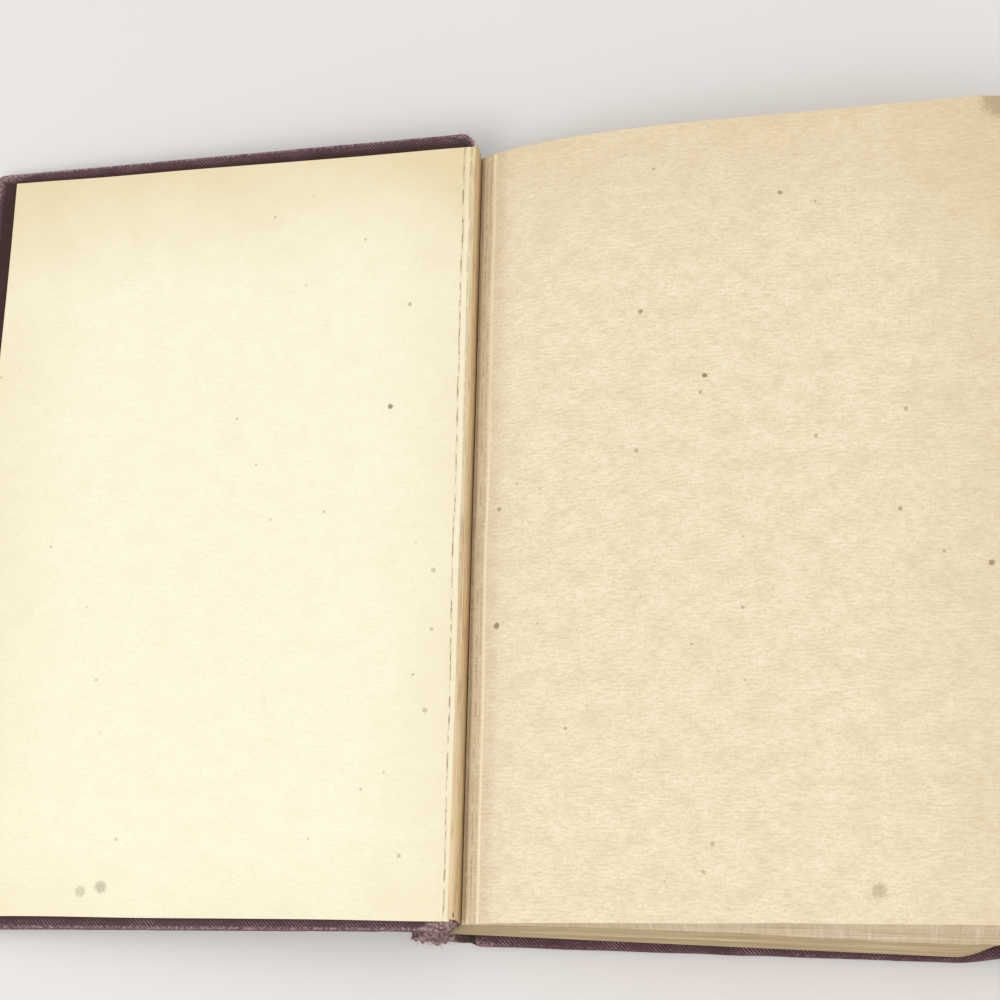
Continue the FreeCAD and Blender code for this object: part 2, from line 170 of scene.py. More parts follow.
def slab_piece(name, top, bottom, look):
    """
    A closed thin body between two grids of the same shape, with a strip of faces round its edge.
    Rows run along +X and columns along +Y, so the top's faces look up.
    """
    rows, columns = top.shape[:2]
    count = rows * columns
    index = np.arange(count).reshape(rows, columns)
    rim = np.concatenate([index[:-1, 0], index[-1, :-1], index[:0:-1, -1], index[0, :0:-1]])
    follow = np.roll(rim, -1)
    sides = np.stack([rim, rim + count, follow + count, follow], -1)
    quads = np.concatenate([grid_quads(rows, columns), grid_quads(rows, columns, count, True), sides])
    return mesh_piece(name, np.concatenate([top.reshape(-1, 3), bottom.reshape(-1, 3)]), quads, look)


def thicken(piece, thickness):
    """The cloth's or paper's thickness, added behind an open surface."""
    modifier = piece.modifiers.new("thickness", "SOLIDIFY")
    modifier.thickness = thickness * 0.001
    modifier.offset = -1.0
    modifier.use_even_offset = False


def bezier(ends, count):
    """Points of a cubic curve through X and Z from its four control points."""
    t = np.linspace(0.0, 1.0, count)
    weights = np.stack([(1 - t) ** 3, 3 * t * (1 - t) ** 2, 3 * t * t * (1 - t), t ** 3], -1)
    return weights @ np.array(ends)


# Node materials

def rgb(red, green, blue):
    """A colour of the picture, 0 to 255, as the renderer's linear light."""
    channel = np.array([red, green, blue]) / 255.0
    linear = np.where(channel <= 0.04045, channel / 12.92, ((channel + 0.055) / 1.055) ** 2.4)
    return (*[float(c) for c in linear], 1.0)


class Look:
    """One material's node tree, with short calls for the nodes that the finishes use."""

    def __init__(self, name, gloss):
        self.material = bpy.data.materials.new(name)
        self.material.use_nodes = True
        self.tree = self.material.node_tree
        self.shader = self.tree.nodes["Principled BSDF"]
        self.shader.inputs["Specular IOR Level"].default_value = gloss

    def add(self, kind, **settings):
        node = self.tree.nodes.new(kind)
        for key, value in settings.items():
            setattr(node, key, value)
        return node

    def link(self, source, target):
        if isinstance(source, (int, float, tuple)):
            target.default_value = source
        else:
            self.tree.links.new(source, target)

    def place(self, source="Object", scale=(1, 1, 1)):
        """Coordinates in millimetres, stretched."""
        coordinates = self.add("ShaderNodeTexCoord")
        mapping = self.add("ShaderNodeMapping")
        mapping.inputs["Scale"].default_value = tuple(1000.0 * s for s in scale)
        self.link(coordinates.outputs[source], mapping.inputs["Vector"])
        return mapping.outputs["Vector"]

    def note(self, name):
        return self.add("ShaderNodeAttribute", attribute_name=name).outputs["Fac"]

    def noise(self, vector, scale, detail=2.0, rough=0.5):
        node = self.add("ShaderNodeTexNoise")
        self.link(vector, node.inputs["Vector"])
        for key, number in (("Scale", scale), ("Detail", detail), ("Roughness", rough)):
            node.inputs[key].default_value = number
        return node.outputs["Fac"]

    def spread(self, value, low, high, start=0.0, end=1.0):
        """A value from low to high, spread over start to end and clamped."""
        node = self.add("ShaderNodeMapRange")
        self.link(value, node.inputs["Value"])
        for key, number in (("From Min", low), ("From Max", high), ("To Min", start), ("To Max", end)):
            node.inputs[key].default_value = number
        return node.outputs["Result"]

    def math(self, operation, first, second=0.0, clamp=False):
        node = self.add("ShaderNodeMath", operation=operation, use_clamp=clamp)
        self.link(first, node.inputs[0])
        self.link(second, node.inputs[1])
        return node.outputs["Value"]

    def times(self, *values):
        """The product of all the values."""
        product = values[0]
        for value in values[1:]:
            product = self.math("MULTIPLY", product, value)
        return product

    def mix(self, factor, first, second):
        node = self.add("ShaderNodeMix", data_type="RGBA")
        self.link(factor, node.inputs["Factor"])
        self.link(first, node.inputs[6])
        self.link(second, node.inputs[7])
        return node.outputs[2]

    def axis(self, vector, name):
        node = self.add("ShaderNodeSeparateXYZ")
        self.link(vector, node.inputs["Vector"])
        return node.outputs[name]

    def distance(self, vector, point):
        node = self.add("ShaderNodeVectorMath", operation="DISTANCE")
        self.link(vector, node.inputs[0])
        node.inputs[1].default_value = point
        return node.outputs["Value"]

    def finish(self, colour, roughness, height=None, depth=0.1):
        """The colour, roughness and a bump whose height of 0 to 1 stands for depth millimetres."""
        self.link(colour, self.shader.inputs["Base Color"])
        self.link(roughness, self.shader.inputs["Roughness"])
        if height is not None:
            node = self.add("ShaderNodeBump")
            node.inputs["Distance"].default_value = depth * 0.001
            self.link(height, node.inputs["Height"])
            self.link(node.outputs["Normal"], self.shader.inputs["Normal"])
        return self.material


def paper(name, tones, mottle, limits, margins, marks=(), creases=()):
    """
    Old endpaper. tones are the middle of the sheet, its toned margins, and the fibres and mottling.
    limits are the sheet's edges in X and Y, and margins the depth and strength of toning at each of them.
    marks are foxing spots, or painted shade where a corner is bent, as X, Y, radius and strength. creases run
    along the book, as X, half width, strength, how broken they are, and 1 for a pale line of painted highlight on
    a crease's ridge or 0 for a dark line of painted shade in its hollow.
    """
    n = Look(name, 0.15)
    middle, toned, fibre_tone = tones
    flat = n.place("Object", (1, 1, 0))
    x, y = n.axis(flat, "X"), n.axis(flat, "Y")
    drift = n.noise(flat, 0.035, 3.0, 0.6)
    wander = n.times(n.math("SUBTRACT", drift, 0.5), 26.0)
    west, east, south, north = limits
    distances = (
        n.math("SUBTRACT", x, west), n.math("SUBTRACT", east, x),
        n.math("SUBTRACT", y, south), n.math("SUBTRACT", north, y),
    )
    tone = 0.0
    for distance, (depth, strength) in zip(distances, margins):
        near = n.spread(n.math("ADD", distance, wander), 0.0, depth, 1.0, 0.0)
        tone = n.math("ADD", tone, n.times(n.math("POWER", near, 1.5), strength), clamp=True)
    colour = n.mix(tone, middle, toned)

    cloud = n.noise(n.place("Object", (1, 1.5, 0)), 0.14, 3.0, 0.6)
    fibre = n.noise(n.place("Object", (0.42, 1.9, 0)), 1.0, 2.0, 0.7)
    grain = n.noise(flat, 1.5, 2.0, 0.7)
    for field, low, high, share in (
        (cloud, 0.38, 0.72, 0.8), (fibre, 0.45, 0.68, 1.0), (grain, 0.48, 0.68, 0.9)
    ):
        colour = n.mix(n.spread(field, low, high, 0.0, mottle * share), colour, fibre_tone)
    colour = n.mix(n.spread(fibre, 0.45, 0.30, 0.0, mottle * 0.5), colour, rgb(255, 248, 222))

    flecks = n.add("ShaderNodeTexVoronoi")
    n.link(flat, flecks.inputs["Vector"])
    flecks.inputs["Scale"].default_value = 0.17
    chosen = n.spread(n.axis(flecks.outputs["Color"], "X"), 0.84, 0.90)
    spot = n.times(n.spread(flecks.outputs["Distance"], 0.04, 0.075, 0.4, 0.0), chosen)
    for px, py, radius, strength in marks:
        ragged = n.math("SUBTRACT", n.distance(flat, (px, py, 0.0)), n.times(grain, radius))
        spot = n.math("MAXIMUM", spot, n.spread(ragged, radius * 0.1, radius * 0.5, strength, 0.0))
    # The marks in brown: foxing spots, and painted shade where a corner is bent
    colour = n.mix(spot, colour, rgb(120, 88, 52))

    if creases:
        waver = n.times(n.math("SUBTRACT", n.noise(n.place("Object", (0, 0.03, 0)), 1.0, 2.0), 0.5), 1.2)
        breaks = n.noise(n.place("Object", (1.2, 0.28, 0)), 1.0, 3.0, 0.7)
    # Crease lines: dark ones are painted shade in the hollows of the creases, pale ones painted highlight on their
    # ridges
    for place, half, strength, broken, pale in creases:
        off = n.math("ABSOLUTE", n.math("SUBTRACT", n.math("ADD", x, waver), place))
        line = n.times(n.spread(off, half * 0.3, half, strength, 0.0), n.spread(breaks, broken, broken + 0.15))
        colour = n.mix(line, colour, rgb(255, 240, 208) if pale else rgb(136, 104, 62))
    height = n.math("ADD", n.times(fibre, 0.6), n.times(grain, 0.4))
    return n.finish(colour, n.spread(grain, 0.2, 0.8, 0.78, 0.95), height, 0.09)


def hinge_paper():
    """
    The dirty endpaper in the gutter, by its UV of width and height: browner where it sinks into the gutter, which
    is painted shade, with fine dark and pale lines along it.
    """
    n = Look("hinge_paper", 0.15)
    flat = n.place("UV")
    down = n.axis(flat, "X")
    lines = n.noise(n.place("UV", (2.6, 0.02, 0)), 1.0, 2.0, 0.7)
    dirt = n.noise(n.place("UV", (0.5, 0.09, 0)), 1.0, 3.0, 0.65)
    # Browner down into the gutter: painted shade
    colour = n.mix(n.spread(down, 1.0, 6.5), rgb(232, 206, 164), rgb(186, 156, 112))
    colour = n.mix(n.spread(lines, 0.5, 0.68, 0.0, 0.5), colour, rgb(158, 126, 84))
    colour = n.mix(n.spread(lines, 0.46, 0.34, 0.0, 0.5), colour, rgb(246, 224, 184))
    colour = n.mix(n.spread(dirt, 0.5, 0.75, 0.0, 0.55), colour, rgb(150, 120, 80))
    return n.finish(colour, 0.9, lines, 0.12)


def cover_cloth_look():
    """
    Ribbed book cloth on the flat-cloth UV: narrow pale diagonal threads over dark ground, which are painted
    highlight on the rib crests and painted shade in the valleys, faded in patches. The note wear rubs it down to
    pale threads in lumps, and the note stain darkens it brown by the paper: a glue stain with painted shadow along
    the paper's edges and under the leaves.
    """
    n = Look("cover_cloth", 0.25)
    flat = n.place("UV")
    a, b = n.axis(flat, "X"), n.axis(flat, "Y")
    waver = n.times(n.noise(flat, 0.22, 1.0), 0.8)
    diagonal = n.math("ADD", n.math("SUBTRACT", a, b), waver)
    rib = n.spread(n.math("SINE", n.times(diagonal, math.tau / 0.88)), -1.0, 1.0)
    rib_highlight = n.math("POWER", rib, 2.0)
    breaks = n.noise(flat, 1.5, 2.0, 0.6)
    patches = n.noise(flat, 0.09, 3.0, 0.6)
    strength = n.times(n.spread(patches, 0.36, 0.62, 0.25, 1.0), n.spread(breaks, 0.34, 0.58, 0.35, 1.0))
    # Pale rib crests over dark valleys: painted highlight and painted shade of the ribs
    colour = n.mix(n.times(rib_highlight, strength), rgb(70, 43, 50), rgb(154, 124, 130))
    colour = n.mix(n.spread(patches, 0.62, 0.40, 0.0, 0.35), colour, rgb(88, 62, 70))
    scuff = n.noise(flat, 0.9, 3.0, 0.75)
    worn = n.spread(n.math("ADD", n.note("wear"), n.times(scuff, 1.3)), 0.95, 1.35)
    bare = n.mix(n.spread(breaks, 0.35, 0.62), rgb(98, 68, 72), rgb(188, 158, 154))
    colour = n.mix(n.times(worn, 0.8), colour, bare)
    # stain: brown glue by the paper, and painted shadow along the paper's edges and under the leaves
    colour = n.mix(n.times(n.note("stain"), 0.85), colour, rgb(54, 34, 28))
    height = n.math("ADD", n.times(rib, 0.7), n.times(worn, scuff))
    return n.finish(colour, n.spread(scuff, 0.3, 0.7, 0.66, 0.9), height, 0.16)


def frayed_thread_look():
    """Dusty pale cotton, darker in places."""
    n = Look("frayed_thread", 0.1)
    tint = n.noise(n.place("Object"), 0.8, 2.0)
    return n.finish(n.mix(tint, rgb(150, 126, 120), rgb(222, 204, 192)), 0.95, tint, 0.03)


def board_look():
    """Grey-brown pasteboard with pressed fibres and flecks."""
    n = Look("pasteboard", 0.2)
    fibre = n.noise(n.place("Object", (0.5, 0.5, 5)), 1.6, 3.0, 0.7)
    fleck = n.noise(n.place("Object"), 2.4, 2.0, 0.8)
    colour = n.mix(fibre, rgb(150, 128, 98), rgb(186, 165, 132))
    colour = n.mix(n.spread(fleck, 0.62, 0.72, 0.0, 0.5), colour, rgb(98, 78, 58))
    return n.finish(colour, 0.9, fibre, 0.15)


def gauze_look():
    """Open weave of coarse threads, brown with old glue."""
    n = Look("gauze", 0.2)
    where = n.place("Object")
    warp = n.spread(n.math("SINE", n.times(n.axis(where, "Y"), math.tau / 0.9)), -1.0, 1.0)
    weft = n.spread(n.math("SINE", n.times(n.axis(where, "Z"), math.tau / 0.9)), -1.0, 1.0)
    weave = n.math("MAXIMUM", warp, weft)
    return n.finish(n.mix(weave, rgb(120, 92, 58), rgb(196, 176, 138)), 0.9, weave, 0.2)


def lining_look():
    """Brown paper glued to the backs of the leaves."""
    n = Look("lining_paper", 0.15)
    fibre = n.noise(n.place("Object", (1, 0.3, 1)), 1.4, 3.0, 0.7)
    return n.finish(n.mix(fibre, rgb(166, 138, 98), rgb(206, 180, 138)), 0.9, fibre, 0.1)


def leaf_edge_look():
    """
    The edges of the leaves, by a UV of the place along the book and up through the stack: fine lines along
    each leaf, gathers of darker and paler leaves, knife marks across the upper leaves, and the parting line, drawn
    darker as painted shade in the step there.
    """
    n = Look("leaf_edges", 0.15)
    flat = n.place("UV")
    along, up = n.axis(flat, "X"), n.axis(flat, "Y")
    leaves = n.noise(n.place("UV", (0.015, 5.5, 1)), 1.0, 3.0, 0.8)
    gathers = n.noise(n.place("UV", (0.012, 0.9, 1)), 1.0, 2.0, 0.6)
    knife = n.noise(n.place("UV", (1.1, 0.035, 1)), 1.0, 3.0, 0.75)
    stain = n.noise(n.place("UV", (0.05, 0.16, 1)), 1.0, 3.0)
    parting = n.math("SUBTRACT", up, n.math("SUBTRACT", PARTING_HEIGHT, n.times(along, PARTING_FALL)))
    upper = n.spread(parting, -0.25, 0.25)
    colour = n.mix(upper, rgb(208, 186, 148), rgb(228, 207, 176))
    fine = n.times(n.spread(leaves, 0.44, 0.60), n.spread(upper, 0.0, 1.0, 0.75, 0.22))
    colour = n.mix(fine, colour, rgb(160, 134, 96))
    colour = n.mix(n.spread(gathers, 0.5, 0.7, 0.0, 0.45), colour, rgb(240, 222, 190))
    colour = n.mix(n.spread(gathers, 0.46, 0.32, 0.0, 0.35), colour, rgb(186, 158, 118))
    colour = n.mix(n.times(n.spread(knife, 0.5, 0.68), upper, 0.55), colour, rgb(246, 228, 200))
    colour = n.mix(n.times(n.spread(knife, 0.44, 0.30), upper, 0.45), colour, rgb(192, 168, 134))
    colour = n.mix(n.spread(stain, 0.48, 0.75, 0.0, 0.4), colour, rgb(190, 160, 122))
    # Darker line at the parting: painted shade in the step between the upper and lower leaves
    parting_shade = n.spread(n.math("ABSOLUTE", parting), 0.05, 0.35, 0.35, 0.0)
    colour = n.mix(parting_shade, colour, rgb(150, 126, 92))
    height = n.math("ADD", n.times(leaves, 0.8), n.times(knife, upper, 0.3))
    return n.finish(colour, 0.92, height, 0.3)


# The leaves

def bent_corner(x, y):
    """How far the upper leaves' head corner drops: in proportion to the way past a diagonal crease."""
    past = (x - BENT_CORNER[0]) * BENT_NORMAL[0] + (y - BENT_CORNER[1]) * BENT_NORMAL[1]
    return BENT_SLOPE * np.clip(past, 0.0, None) * smooth(past, 0.0, 1.2)


def make_flyleaf(look):
    """
    The free endpaper. Its height is leaf_z plus a swell of 0.1 mm, the bent head corner and, in the first
    5 mm, the creases of the stub: a step, a groove and a ridge. Its edges wander by 0.1 mm.
    """
    u = np.linspace(0.0, 1.0, 260) ** 1.6
    v = np.linspace(-1.0, 1.0, 150)
    x, y = np.meshgrid(u * PAGE_WIDTH, v * PAGE_HEIGHT / 2.0, indexing="ij")
    ends = smooth(np.abs(v), 0.9, 1.0) * np.sign(v)
    fore = smooth(u, 0.9, 1.0)[:, None]
    bow = 1.0 + 0.10 * waves(y, y * 0.0, 70.0, 5)
    step = 0.10 * smooth(x, 0.75 * bow, 1.0 * bow)
    groove = -0.14 * np.exp(-((x - 2.1 * bow) / 0.24) ** 2)
    ridge = 0.14 * np.exp(-((x - 3.7 * bow) / 0.26) ** 2)
    swell = waves(x, y, 62.0, 4) * 0.10 * smooth(x, 6.0, 30.0)
    z = leaf_z(x) - 0.1 + step + groove + ridge + swell - bent_corner(x, y)
    x = x + fore * waves(y, y * 0.0, 41.0, 6) * 0.1
    y = y + TOP_SHIFT + ends * waves(x, y * 0.0, 37.0, 3) * 0.08
    top = turned(stack(x, y, z), TOP_TURN)
    piece = slab_piece("flyleaf", top, top - [0.0, 0.0, PAPER * 0.8], look)
    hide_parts("front_flyleaf")
    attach(piece, "book_block")


def block_point(u, v, w):
    """
    A point of the stack: u from the back to the fore-edge, v from tail to head, w from the lowest leaf to
    the top one. Each leaf is a blend of the lowest, flat and turned most, and the top one, which follows
    leaf_z. The lowest leaves curl up at the bumped corner.
    """
    top_x, y = u * PAGE_WIDTH, v * PAGE_HEIGHT / 2.0
    top_z = leaf_z(top_x) - PAPER - LEAF_GAP - bent_corner(top_x, y)
    top = turned(stack(top_x, y + TOP_SHIFT, top_z), TOP_TURN)
    low_x = -BACK_LEAN + u * (LAST_REACH + BACK_LEAN)
    low = turned(stack(low_x, y + LAST_SHIFT, BLOCK_BOTTOM), LAST_TURN)
    level = w[..., None]
    return curl(low + (top - low) * level, LEAF_DRAW, np.clip(1.0 - w / CURLED_SHARE, 0.0, 1.0))


def make_pages(look):
    """
    The other pages as one closed stack of six faces. Tail, head and fore-edge are ridged by the leaves,
    with each leaf set in or out by up to 0.1 mm and whole gathers by as much again.
    """
    u, v, w = np.linspace(0, 1, 130) ** 1.2, np.linspace(-1, 1, 100), np.linspace(0, 1, 72)
    stack_height = LEAF_RISE + GUTTER_Z - BLOCK_BOTTOM

    def ragged(level):
        leaf = np.sin(level * 391.0 + 3.0 * np.sin(level * 57.0))
        return 0.10 * leaf + 0.10 * waves(level * 100.0, level * 0.0, 17.0, 11) - 0.2

    places, faces, corners, start = [], [], [], 0
    for side, first, second, flip in (
        ("tail", u, w, False), ("head", u, w, True), ("fore", v, w, False), ("back", v, w, True),
        ("top", u, v, False), ("under", u, v, True),
    ):
        p, q = np.meshgrid(first, second, indexing="ij")
        inside = smooth(q, 0.0, 0.03) * (1.0 - smooth(q, 0.97, 1.0)) * (1.0 - smooth(np.abs(p), 0.985, 1.0))
        if side in ("tail", "head"):
            sign = -1.0 if side == "tail" else 1.0
            points = block_point(p, np.full_like(p, sign), q)
            parting = PARTING_HEIGHT - PARTING_FALL * p * PAGE_WIDTH
            parted = smooth(q * stack_height - parting, -0.2, 0.2)
            points[..., 1] += sign * (ragged(q) - 0.12 * parted) * inside
            flat = stack(points[..., 0], q * stack_height)
        elif side in ("fore", "back"):
            points = block_point(np.full_like(p, 1.0 if side == "fore" else 0.0), p, q)
            points[..., 0] += ragged(q) * inside * (side == "fore")
            flat = stack(points[..., 1], q * stack_height)
        else:
            points = block_point(p, q, np.full_like(p, 1.0 if side == "top" else 0.0))
            flat = points[..., :2]
        part = grid_quads(*p.shape, 0, flip)
        places.append(points.reshape(-1, 3))
        faces.append(part + start)
        corners.append(flat.reshape(-1, 2)[part.ravel()])
        start += p.size
    piece = mesh_piece("pages", np.concatenate(places), np.concatenate(faces), look, np.concatenate(corners))
    work = bmesh.new()
    work.from_mesh(piece.data)
    bmesh.ops.remove_doubles(work, verts=work.verts, dist=1e-6)
    work.to_mesh(piece.data)
    work.free()
    piece.data.set_sharp_from_angle(angle=math.radians(50.0))
    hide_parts("text_block")
    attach(piece, "book_block")


def make_front_pastedown(look):
    """
    The paper on the inside of the front cover, turned by 0.42 degrees. Its cut edges wander by 0.15 mm,
    it is a little puffed over its paste, and a shallow crease runs 2.2 mm from its hinge edge.
    """
    half = PASTEDOWN_WIDTH / 2.0
    u, v = np.linspace(1.0, -1.0, 150), np.linspace(-1.0, 1.0, 130)
    dense_s = np.sign(u) * (1.0 - (1.0 - np.abs(u)) ** 1.5) * half
    s, y = np.meshgrid(dense_s, v * PAGE_HEIGHT / 2.0, indexing="ij")
    inside = smooth(np.minimum(half - np.abs(s), PAGE_HEIGHT / 2.0 - np.abs(y)), 0.0, 5.0)
    puff = 0.05 + 0.04 * waves(s, y, 40.0, 23)
    crease = -0.10 * np.exp(-((s + half - 2.2) / 0.22) ** 2)
    over = COVER_THICK + PAPER + puff * inside + crease
    ends = smooth(np.abs(y), 88.0, 94.0) * np.sign(y)
    y = y + waves(s, s * 0.0, 45.0, 21) * 0.15 * ends
    s = s + waves(y, y * 0.0, 60.0, 22) * 0.15 * smooth(s, half - 4.0, half)
    a = math.radians(PASTEDOWN_TURN)
    place_s = s * math.cos(a) - y * math.sin(a) + half + FRONT_PASTEDOWN_EDGE
    place_y = y * math.cos(a) + s * math.sin(a) - FRONT_SHIFT
    top = on_front(place_s, place_y, over)
    bottom = on_front(place_s, place_y, COVER_THICK + 0.02)
    piece = slab_piece("front_pastedown_paper", top, bottom, look)
    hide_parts("front_pastedown")
    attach(piece, "front_cover")


def make_inner_hinge(look):
    """
    The endpaper where it goes over the hinge edge of the front board and down into the gutter: a cubic
    curve from the pastedown to just short of the flyleaf, which leaves the dark crack, with creases along it.
    """
    rows, columns = 34, 150
    section = bezier([(-1.5, 13.85), (0.55, 13.95), (-0.42, 9.6), (-0.22, 6.98)], rows)
    steps = np.concatenate([[0.0], np.cumsum(np.hypot(*np.diff(section, axis=0).T))])
    t = (steps / steps[-1])[:, None]
    y = np.linspace(-PAGE_HEIGHT / 2.0, PAGE_HEIGHT / 2.0, columns)[None, :]
    middle = 4.0 * t * (1.0 - t)
    crease = 0.06 * np.sin(t * 21.0 + 0.8 * waves(y, y * 0.0, 80.0, 32)) + 0.06 * waves(y, y * 0.0, 55.0, 31)
    x = section[:, 0][:, None] + middle * crease
    z = section[:, 1][:, None]
    points = turned(stack(x, y, z), PASTEDOWN_TURN + (TOP_TURN - PASTEDOWN_TURN) * smooth(t, 0.0, 0.2))
    points = points + stack(0.0 * t, TOP_SHIFT * t, 0.0 * t)
    quads = grid_quads(rows, columns)
    flat = stack(steps[:, None], y).reshape(-1, 2)[quads.ravel()]
    piece = mesh_piece("inner_hinge", points.reshape(-1, 3), quads, look, flat)
    thicken(piece, 0.12)
    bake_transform(piece)


def make_back_papers(look):
    """The back pastedown and the last free leaf: flat sheets, bent up with the bumped corner."""
    u, v = np.linspace(0.0, 1.0, 60), np.linspace(-1.0, 1.0, 90)
    x, y = np.meshgrid(u, v * PAGE_HEIGHT / 2.0, indexing="ij")
    s = x * PASTEDOWN_WIDTH + BACK_PASTEDOWN_EDGE
    sheet = slab_piece(
        "back_pastedown_paper", on_back(s, y, COVER_THICK + PAPER), on_back(s, y, COVER_THICK + 0.02), look
    )
    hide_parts("back_pastedown")
    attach(sheet, "back_cover")
    place = turned(stack(x * (LAST_REACH + BACK_LEAN) - BACK_LEAN, y + LAST_SHIFT, BLOCK_BOTTOM), LAST_TURN)
    top = curl(place, LEAF_DRAW) - [0.0, 0.0, 0.02]
    leaf = slab_piece("back_flyleaf_paper", top, top - [0.0, 0.0, PAPER * 0.8], look)
    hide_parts("back_flyleaf")
    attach(leaf, "book_block")


def make_back_board(look):
    """The back board under its cloth, bent up with the bumped corner."""
    s, y = np.meshgrid(
        np.linspace(1.2, COVER_WIDTH - CLOTH - 0.3, 60), np.linspace(-1, 1, 90) * (COVER_HALF - CLOTH - 0.3),
        indexing="ij",
    )
    top, bottom = on_back(s, y, COVER_THICK - CLOTH - 0.05), on_back(s, y, CLOTH + 0.05)
    piece = slab_piece("back_board_card", top, bottom, look)
    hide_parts("back_board")
    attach(piece, "back_cover")


# The cover cloth

def edge_path():
    """
    The cloth's way round a board's edge, as the distance out from 2 mm inside it and the height over the
    outer face: along the face, round two arcs, and back over the inside for the turn-in. With it go the
    length of the way at each of its points, and at the inner arris.
    """
    reach = 2.0
    arc = np.radians(np.linspace(0.0, 90.0, 5))
    far, near_top = reach - EDGE_ROUND, COVER_THICK - EDGE_ROUND
    outer = np.stack([far + EDGE_ROUND * np.sin(arc), EDGE_ROUND - EDGE_ROUND * np.cos(arc)], -1)
    inner = np.stack([far + EDGE_ROUND * np.cos(arc), near_top + EDGE_ROUND * np.sin(arc)], -1)
    inward = np.array([1.2, 1.7, 2.3, 3.0, 4.0, 8.0, TURN_IN])
    back = np.stack([reach - inward, np.full(len(inward), COVER_THICK)], -1)
    path = np.concatenate([[[0.0, 0.0]], outer, inner, back])
    steps = np.concatenate([[0.0], np.cumsum(np.hypot(*np.diff(path, axis=0).T))])
    inner_arris = steps[len(outer) + len(inner)]
    return reach, path, steps, inner_arris


def make_cover_cloth(name, place, body, node, mirror, corners, crumple, look):
    """
    The cloth drawn round one board. Beyond the flat outer face each ring of cloth goes round the edge by
    edge_path and back over the inside, with mitred corners rounded by squeezing squares into discs.
    The hinge side stays open, and its corners, tail then head, are rounded by the radii in corners.
    The UV is the flat cloth. wear is high on the inner edge and at the corners; stain beside the paper is a glue
    stain with painted shadow of the paper's edges and the leaves.
    """
    reach, path, steps, inner_arris = edge_path()
    wide, tall = COVER_WIDTH - reach, COVER_HALF - reach
    near = np.array([0.0, 0.4, 0.9, 1.5, 2.2, 3.0, 4.0])
    p = np.concatenate([near, np.linspace(5.0, wide, 70), wide + steps[1:]])
    near_end = [tall - 2.0, tall - 1.0, tall]
    half_q = np.concatenate([np.linspace(0.0, tall - 3.0, 56), near_end, tall + steps[1:]])
    pp, qq = np.meshgrid(p, np.concatenate([-half_q[:0:-1], half_q]), indexing="ij")
    side = np.sign(qq)
    over_p, over_q = pp - wide, np.abs(qq) - tall
    d = np.clip(np.maximum(over_p, over_q), 0.0, None)
    out, h = np.interp(d, steps, path[:, 0]), np.interp(d, steps, path[:, 1])
    ring = d > 0
    s = np.where(ring, np.where(over_p >= over_q, wide + out, pp / (wide + d) * (wide + out)), pp)
    y = np.where(ring, np.where(over_q >= over_p, side * (tall + out), qq / (tall + d) * (tall + out)), qq)
    flat_fore, flat_end = stack(pp, y), stack(s, qq)

    core_s, core_y = COVER_WIDTH - FORE_CORNER, COVER_HALF - FORE_CORNER
    a, b = np.clip(s - core_s, 0.0, None), np.clip(np.abs(y) - core_y, 0.0, None)
    both = (a > 0) & (b > 0)
    squeeze = np.where(both, np.maximum(a, b) / np.maximum(np.hypot(a, b), 1e-9), 1.0)
    s = np.where(a > 0, core_s + a * squeeze, s)
    y = np.where(b > 0, side * (core_y + b * squeeze), y)
    radius = np.where(qq < 0, corners[0], corners[1])
    past = np.clip(radius - s, 0.0, radius)
    dip = radius - np.sqrt(radius ** 2 - past ** 2)
    y = y - side * dip * smooth(np.abs(y), COVER_HALF - 9.0, COVER_HALF - 3.0)

    rim = smooth(h, 0.1, 0.6) * (1.0 - smooth(h, 2.4, 2.7))
    rubbed = waves(s, y, 9.0, 41 + mirror) * 0.05 + waves(s, y, 3.0, 43 + mirror) * 0.03
    s = s + rubbed * rim * (over_p > over_q)
    y = y + rubbed * rim * side * (over_q > 0)
    at_hinge = (1.0 - smooth(s, 3.0, 9.0)) * smooth(-y, COVER_HALF - 6.0, COVER_HALF - 1.0) * crumple
    s = s + at_hinge * waves(s + h, y, 3.2, 47) * 0.4
    y = y + at_hinge * waves(s, y + h, 2.6, 48) * 0.35
    h = h + at_hinge * waves(s, y, 3.0, 49) * 0.4

    inward = d - inner_arris
    corner_s, corner_y = COVER_WIDTH - s, COVER_HALF - np.abs(y)
    wear = (0.62 if mirror else 0.3) * np.exp(-((inward + 0.4) / 0.7) ** 2)
    wear = wear + 0.45 * (1.0 - smooth(np.hypot(corner_s, corner_y), 3.0, 14.0)) + at_hinge
    wear = wear + 0.35 * (1.0 - smooth(np.hypot(s, corner_y), 2.0, 7.0))
    # stain on the turn-in beside the paper: a glue stain, and painted shadow along the paper's edges and under the
    # leaves
    stain = smooth(inward, 0.9, 2.0) * (ring & (h > 2.0))

    rows, columns = pp.shape
    centre_p = (over_p[:-1, :-1] + over_p[1:, 1:]).reshape(-1)
    centre_q = (over_q[:-1, :-1] + over_q[1:, 1:]).reshape(-1)
    quads = grid_quads(rows, columns, 0, not mirror)
    along_fore = (centre_p > centre_q)[:, None, None]
    uv = np.where(along_fore, flat_fore.reshape(-1, 2)[quads], flat_end.reshape(-1, 2)[quads])
    uv[..., 0] = -uv[..., 0] if mirror else uv[..., 0] + 30.0
    piece = mesh_piece(
        name, place(s, y, h).reshape(-1, 3), quads, look, uv.reshape(-1, 2), (("wear", wear), ("stain", stain))
    )
    thicken(piece, CLOTH - 0.02)
    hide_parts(node)
    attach(piece, body)


